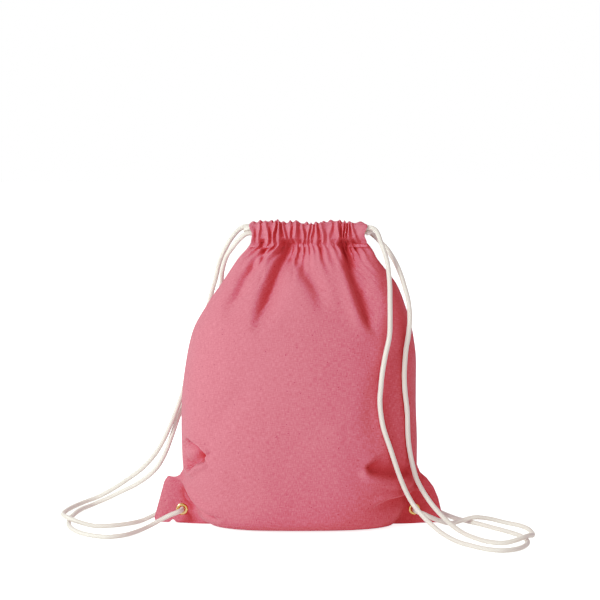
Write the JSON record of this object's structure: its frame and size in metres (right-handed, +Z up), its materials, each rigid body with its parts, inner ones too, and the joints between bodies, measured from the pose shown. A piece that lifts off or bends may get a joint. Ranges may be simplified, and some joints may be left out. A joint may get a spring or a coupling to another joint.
{
  "type": "drawstring backpack",
  "caption": "Cotton canvas drawstring backpack: a filled bag with a gathered cord channel at its mouth, cord shoulder straps and brass eyelets in its bottom corners.",
  "frame": {"origin": "on the standing surface, under the middle of the bag", "axes": "+Z up through the mouth, +X to the right of a viewer facing the front, +Y from the front to the back"},
  "size_m": [0.6209, 0.2796, 0.399],
  "materials": {
    "canvas": "matte heathered cotton canvas, grapefruit pink",
    "thread": "matte sewing thread in the canvas colour",
    "cord": "matte braided natural cotton",
    "brass": "polished brass"
  },
  "bodies": {
    "bag": {"front_panel": "canvas", "back_panel": "canvas", "left_seam_allowance": "canvas", "right_seam_allowance": "canvas", "bottom_seam_allowance": "canvas", "left_eyelet": "brass", "right_eyelet": "brass", "left_eyelet_washer": "brass", "right_eyelet_washer": "brass", "left_cord_rear_strand": "cord", "left_cord_front_strand": "cord", "right_cord_rear_strand": "cord", "right_cord_front_strand": "cord", "left_cord_turn": "cord", "right_cord_turn": "cord", "left_knot": "cord", "right_knot": "cord"},
    "front_lip": {"front_channel": "canvas", "front_channel_stitching": "thread", "left_cord_front_run": "cord", "right_cord_front_run": "cord"},
    "back_lip": {"back_channel": "canvas", "back_channel_stitching": "thread", "left_cord_back_run": "cord", "right_cord_back_run": "cord"}
  },
  "joints": [
    {"name": "mouth_front", "type": "hinge", "parent": "bag", "child": "front_lip", "pos_m": [0.012, -0.05, 0.29], "axis": [1, 0, 0], "range_deg": [0, 22]},
    {"name": "mouth_back", "type": "hinge", "parent": "bag", "child": "back_lip", "pos_m": [0.012, 0.05, 0.29], "axis": [-1, 0, 0], "range_deg": [0, 22]}
  ],
  "couplings": [
    {"joint": "mouth_back", "follows": "mouth_front", "ratio": 1}
  ]
}
